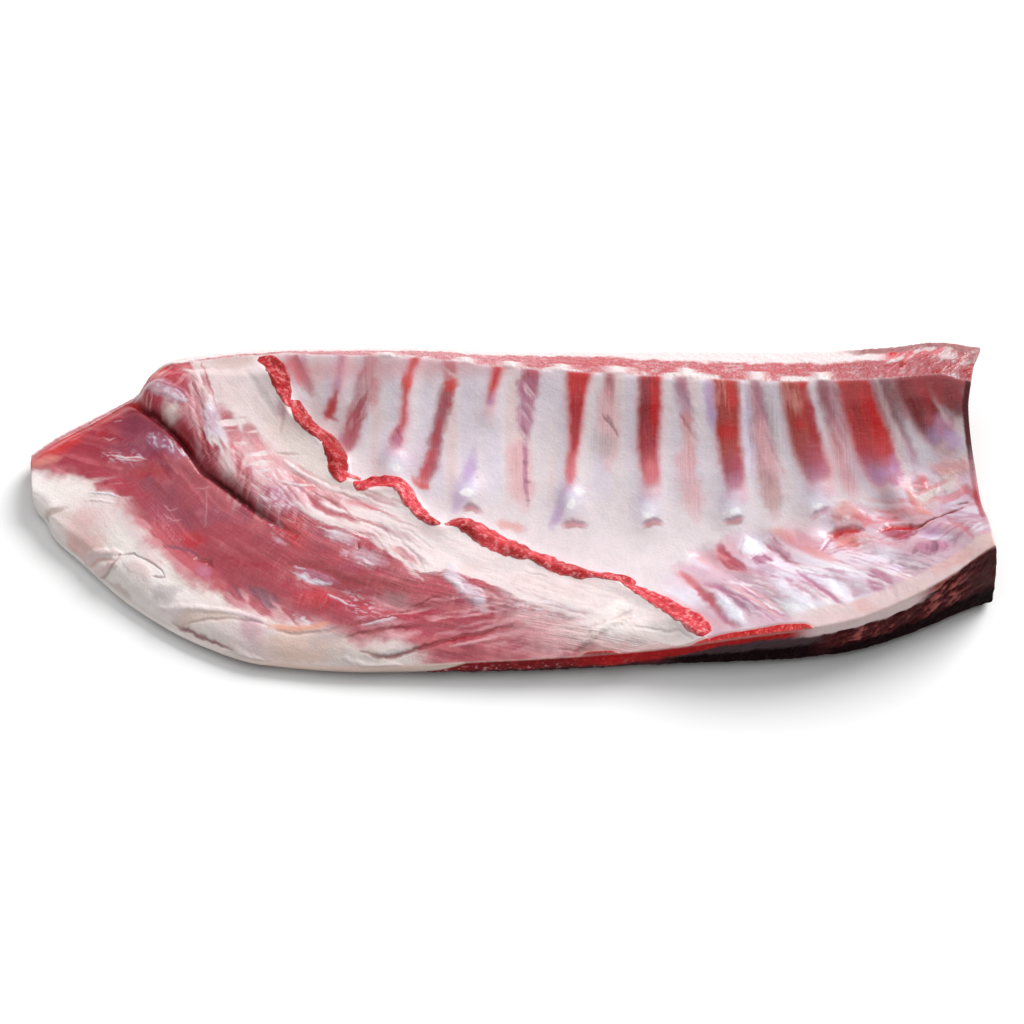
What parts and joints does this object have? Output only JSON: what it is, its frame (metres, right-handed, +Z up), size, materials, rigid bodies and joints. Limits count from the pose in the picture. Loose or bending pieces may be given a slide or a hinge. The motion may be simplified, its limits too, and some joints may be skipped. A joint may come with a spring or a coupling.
{
  "type": "raw lamb breast",
  "caption": "Raw breast of lamb lying rib side up: ribs and intercostal meat, sternum cartilage, cut diaphragm edge, and a flat flank with folds of muscle and fat.",
  "frame": {"origin": "on the table, under the middle of the cut's box", "axes": "+X from the thin flank end to the thick brisket end, +Y from the sternum side to the sawn rib ends, +Z up"},
  "size_m": [0.415, 0.1546, 0.0459],
  "materials": {
    "raw_meat": "wet raw muscle under pale fat and membrane, satin to glossy"
  },
  "bodies": {
    "root": {"lamb_breast": "raw_meat"}
  },
  "joints": []
}
